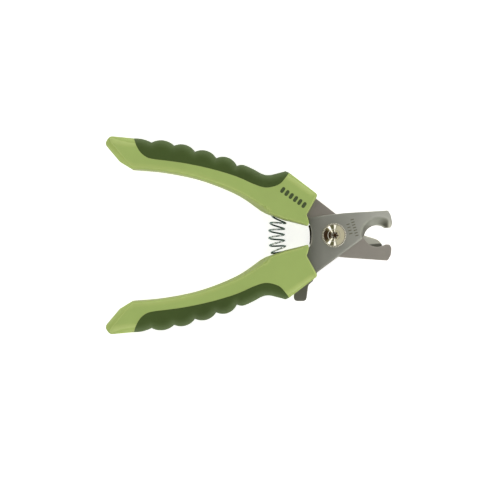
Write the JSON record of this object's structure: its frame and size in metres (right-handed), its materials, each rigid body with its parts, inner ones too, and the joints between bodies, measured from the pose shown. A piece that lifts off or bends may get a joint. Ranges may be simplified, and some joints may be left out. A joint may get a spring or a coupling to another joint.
{
  "type": "scissor nail clipper for pets",
  "caption": "Plier-type pet nail clipper: crossed blades with hooked jaws on a bolt, sprung two-colour ridged handles and a swing-out safety stop.",
  "frame": {"origin": "on the pivot axis, at the flat back of the pivot bolt's head, which is the plane that the clipper lies on", "axes": "+X towards the jaws, +Y towards the upper handle, +Z out of the front face with the cap nut"},
  "size_m": [0.1461, 0.1006, 0.013],
  "materials": {
    "blade_steel": "fine brushed stainless steel, satin",
    "handle_plastic": "light green moulding, fine spark-eroded texture",
    "grip_rubber": "dark green soft overmoulding, matt",
    "spring_steel": "drawn spring wire",
    "stop_steel": "dull stamped stainless steel",
    "bolt_steel": "satin turned steel",
    "plated_steel": "bright nickel plate"
  },
  "bodies": {
    "front_lever": {"front_blade": "blade_steel", "lower_handle": "handle_plastic", "lower_grip": "grip_rubber", "pivot_bolt": "bolt_steel", "pivot_cap_nut": "plated_steel", "tension_washer": "plated_steel", "stop_spacer_washer": "bolt_steel", "wave_washer": "spring_steel", "return_spring": "spring_steel"},
    "rear_lever": {"rear_blade": "blade_steel", "upper_handle": "handle_plastic", "upper_grip": "grip_rubber"},
    "stop": {"safety_stop": "stop_steel"}
  },
  "joints": [
    {"name": "lever_pivot", "type": "hinge", "parent": "front_lever", "child": "rear_lever", "pos_m": [0, 0, 0.0065], "axis": [0, 0, 1], "range_deg": [0, 32], "stiffness_Nm_per_rad": 0.84, "springref_deg": -17.19, "deforming": ["return_spring"]},
    {"name": "stop_pivot", "type": "hinge", "parent": "front_lever", "child": "stop", "pos_m": [0, 0, 0.0029], "axis": [0, 0, 1], "range_deg": [-12, 20]}
  ]
}
